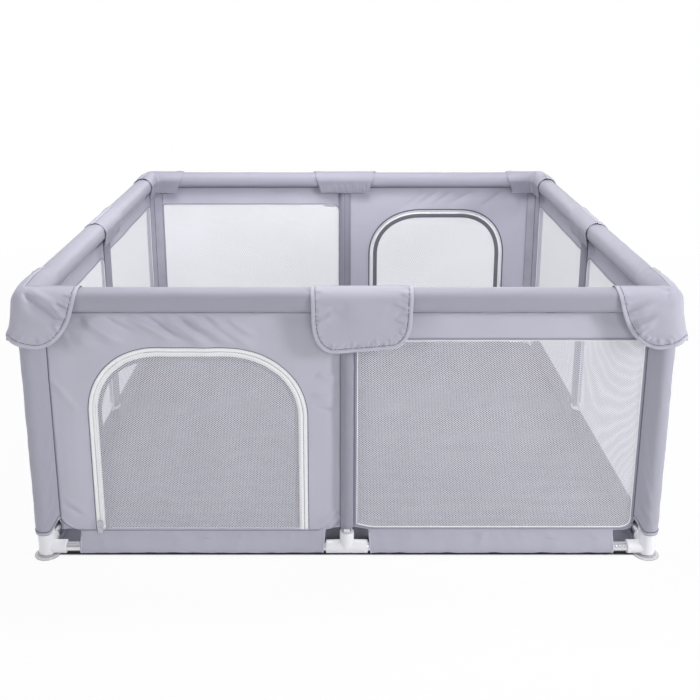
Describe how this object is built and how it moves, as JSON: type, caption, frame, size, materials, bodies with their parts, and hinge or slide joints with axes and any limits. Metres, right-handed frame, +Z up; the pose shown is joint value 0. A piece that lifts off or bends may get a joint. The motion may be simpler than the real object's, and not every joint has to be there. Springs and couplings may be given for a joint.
{
  "type": "playpen",
  "caption": "Square playpen: padded fabric walls with net windows and two zipped net doors on a white push-fit tube frame with suction-cup feet.",
  "frame": {"origin": "on the floor at the middle of the footprint", "axes": "+Z up, -Y the front with the zipped door on its left, +X to the right seen from the front"},
  "size_m": [1.5172, 1.5172, 0.6803],
  "materials": {
    "white_steel": "gloss",
    "white_plastic": "satin",
    "clear_rubber": "gloss",
    "foam": "matte",
    "cover_cloth": "matte",
    "net_panel_cloth": "matte",
    "net": "matte",
    "zip_white": "satin",
    "zip_metal": "gloss",
    "mat_cloth": "matte"
  },
  "bodies": {
    "frame": {"corner_post_front_left": "white_steel", "lower_corner_front_left": "white_plastic", "upper_corner_front_left": "white_plastic", "corner_post_front_right": "white_steel", "lower_corner_front_right": "white_plastic", "upper_corner_front_right": "white_plastic", "corner_post_back_right": "white_steel", "lower_corner_back_right": "white_plastic", "upper_corner_back_right": "white_plastic", "corner_post_back_left": "white_steel", "lower_corner_back_left": "white_plastic", "upper_corner_back_left": "white_plastic", "middle_post_front": "white_steel", "lower_rails_front": "white_steel", "upper_rails_front": "white_steel", "lower_tee_front": "white_plastic", "upper_tee_front": "white_plastic", "middle_post_right": "white_steel", "lower_rails_right": "white_steel", "upper_rails_right": "white_steel", "lower_tee_right": "white_plastic", "upper_tee_right": "white_plastic", "middle_post_back": "white_steel", "lower_rails_back": "white_steel", "upper_rails_back": "white_steel", "lower_tee_back": "white_plastic", "upper_tee_back": "white_plastic", "middle_post_left": "white_steel", "lower_rails_left": "white_steel", "upper_rails_left": "white_steel", "lower_tee_left": "white_plastic", "upper_tee_left": "white_plastic", "suction_cups": "clear_rubber", "rail_pads": "foam", "front_left_door_panel": "cover_cloth", "back_right_door_panel": "cover_cloth", "front_right_net_panel": "net_panel_cloth", "right_front_net_panel": "net_panel_cloth", "right_back_net_panel": "net_panel_cloth", "back_left_net_panel": "net_panel_cloth", "left_back_net_panel": "net_panel_cloth", "left_front_net_panel": "net_panel_cloth", "post_sleeves": "cover_cloth", "zip_tapes": "zip_white", "flap_inner_parts": "cover_cloth", "floor_mat": "mat_cloth"},
    "front_door": {"front_door": "net"},
    "back_door": {"back_door": "net"},
    "front_zip_slider": {"front_zip_slider": "zip_metal"},
    "back_zip_slider": {"back_zip_slider": "zip_metal"},
    "front_zip_pull": {"front_zip_pull": "zip_metal"},
    "back_zip_pull": {"back_zip_pull": "zip_metal"},
    "corner_flap_front_left": {"corner_flap_front_left": "cover_cloth"},
    "corner_flap_front_right": {"corner_flap_front_right": "cover_cloth"},
    "corner_flap_back_right": {"corner_flap_back_right": "cover_cloth"},
    "corner_flap_back_left": {"corner_flap_back_left": "cover_cloth"},
    "middle_flap_front": {"middle_flap_front": "cover_cloth"},
    "middle_flap_right": {"middle_flap_right": "cover_cloth"},
    "middle_flap_back": {"middle_flap_back": "cover_cloth"},
    "middle_flap_left": {"middle_flap_left": "cover_cloth"}
  },
  "joints": [
    {"name": "front_door_hinge", "type": "hinge", "parent": "frame", "child": "front_door", "pos_m": [-0.3475, -0.7266, 0.067], "axis": [1, 0, 0], "range_deg": [0, 95]},
    {"name": "front_slider_travel", "type": "slide", "parent": "frame", "child": "front_zip_slider", "axis": [0, 0, 1], "range_m": [0, 0.25]},
    {"name": "front_pull_hinge", "type": "hinge", "parent": "front_zip_slider", "child": "front_zip_pull", "pos_m": [-0.593, -0.7314, 0.0732], "axis": [1, 0, 0], "range_deg": [0, 170]},
    {"name": "back_door_hinge", "type": "hinge", "parent": "frame", "child": "back_door", "pos_m": [0.3475, 0.7266, 0.067], "axis": [-1, 0, 0], "range_deg": [0, 95]},
    {"name": "back_slider_travel", "type": "slide", "parent": "frame", "child": "back_zip_slider", "axis": [0, 0, 1], "range_m": [0, 0.25]},
    {"name": "back_pull_hinge", "type": "hinge", "parent": "back_zip_slider", "child": "back_zip_pull", "pos_m": [0.593, 0.7314, 0.0732], "axis": [-1, 0, 0], "range_deg": [0, 170]},
    {"name": "middle_flap_front_lift", "type": "hinge", "parent": "frame", "child": "middle_flap_front", "pos_m": [0.033, -0.7263, 0.6803], "axis": [-1, 0, 0], "range_deg": [0, 110]},
    {"name": "middle_flap_right_lift", "type": "hinge", "parent": "frame", "child": "middle_flap_right", "pos_m": [0.7263, 0, 0.6803], "axis": [0, -1, 0], "range_deg": [0, 110]},
    {"name": "middle_flap_back_lift", "type": "hinge", "parent": "frame", "child": "middle_flap_back", "pos_m": [0, 0.7263, 0.6803], "axis": [1, 0, 0], "range_deg": [0, 110]},
    {"name": "middle_flap_left_lift", "type": "hinge", "parent": "frame", "child": "middle_flap_left", "pos_m": [-0.7263, 0, 0.6803], "axis": [0, 1, 0], "range_deg": [0, 110]},
    {"name": "corner_flap_front_left_lift", "type": "hinge", "parent": "frame", "child": "corner_flap_front_left", "pos_m": [-0.6643, -0.6513, 0.6803], "axis": [-0.6371, 0.7707, 0], "range_deg": [0, 75]},
    {"name": "corner_flap_front_right_lift", "type": "hinge", "parent": "frame", "child": "corner_flap_front_right", "pos_m": [0.6643, -0.6513, 0.6803], "axis": [-0.6371, -0.7707, 0], "range_deg": [0, 75]},
    {"name": "corner_flap_back_right_lift", "type": "hinge", "parent": "frame", "child": "corner_flap_back_right", "pos_m": [0.6643, 0.6513, 0.6803], "axis": [0.6371, -0.7707, 0], "range_deg": [0, 75]},
    {"name": "corner_flap_back_left_lift", "type": "hinge", "parent": "frame", "child": "corner_flap_back_left", "pos_m": [-0.6643, 0.6513, 0.6803], "axis": [0.6371, 0.7707, 0], "range_deg": [0, 75]}
  ]
}
